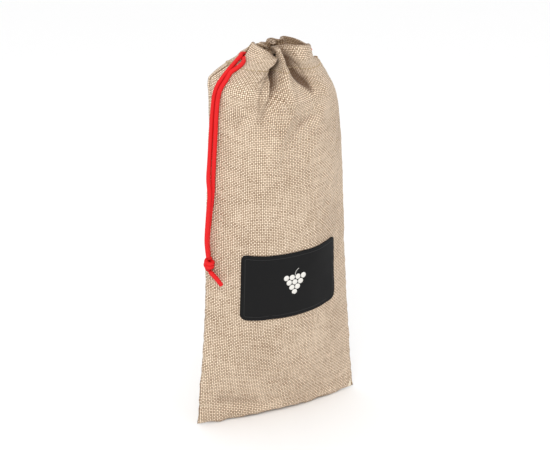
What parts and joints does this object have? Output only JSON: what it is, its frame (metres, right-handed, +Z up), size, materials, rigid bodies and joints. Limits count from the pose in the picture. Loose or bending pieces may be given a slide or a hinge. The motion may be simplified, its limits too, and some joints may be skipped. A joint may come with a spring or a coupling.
{
  "type": "drawstring wine gift bag",
  "caption": "Tall flat cloth gift bag for one wine bottle, drawn closed at a gathered neck by two cords, with a label patch.",
  "frame": {"origin": "middle of the bag's bottom, on the surface it stands on", "axes": "+Z up, -Y out of the labelled front, +X to the right as seen from the front"},
  "size_m": [0.146, 0.0752, 0.322],
  "materials": {
    "jute": "coarse plain weave",
    "jute_turned_in": "coarse plain weave, inner side",
    "lining": "smooth fine lining",
    "cord": "satin twisted cord",
    "label": "matt black patch",
    "print": "matt print",
    "thread": "spun sewing thread"
  },
  "bodies": {
    "bag": {"front_panel": "jute", "back_panel": "jute", "front_lining": "lining", "back_lining": "lining", "left_side_seam": "jute_turned_in", "right_side_seam": "jute_turned_in", "bottom_seam": "jute_turned_in", "front_casing_stitching": "thread", "back_casing_stitching": "thread", "left_bar_tack": "thread", "right_bar_tack": "thread", "label_patch": "label", "label_border": "print", "label_print": "print", "left_front_strand": "cord", "left_back_strand": "cord", "right_front_strand": "cord", "right_back_strand": "cord"},
    "front_mouth": {"front_casing": "jute", "front_hem": "jute_turned_in", "left_cord_front_run": "cord", "right_cord_front_run": "cord"},
    "back_mouth": {"back_casing": "jute", "back_hem": "jute_turned_in", "left_cord_back_run": "cord", "right_cord_back_run": "cord"},
    "left_cord_end": {"left_knot": "cord", "left_tails": "cord"},
    "right_cord_end": {"right_knot": "cord", "right_tails": "cord"}
  },
  "joints": [
    {"name": "front_mouth_slide", "type": "slide", "parent": "bag", "child": "front_mouth", "axis": [0, -1, 0], "range_m": [-0.003, 0.012]},
    {"name": "back_mouth_slide", "type": "slide", "parent": "bag", "child": "back_mouth", "axis": [0, 1, 0], "range_m": [-0.003, 0.012]},
    {"name": "left_cord_slide", "type": "slide", "parent": "bag", "child": "left_cord_end", "axis": [0, 0, 1], "range_m": [-0.0045, 0.0176], "deforming": ["left_front_strand", "left_back_strand"]},
    {"name": "right_cord_slide", "type": "slide", "parent": "bag", "child": "right_cord_end", "axis": [0, 0, 1], "range_m": [-0.0045, 0.0176], "deforming": ["right_front_strand", "right_back_strand"]}
  ],
  "couplings": [
    {"joint": "back_mouth_slide", "follows": "front_mouth_slide", "ratio": 1},
    {"joint": "left_cord_slide", "follows": "front_mouth_slide", "ratio": 1.45},
    {"joint": "right_cord_slide", "follows": "front_mouth_slide", "ratio": 1.45}
  ]
}
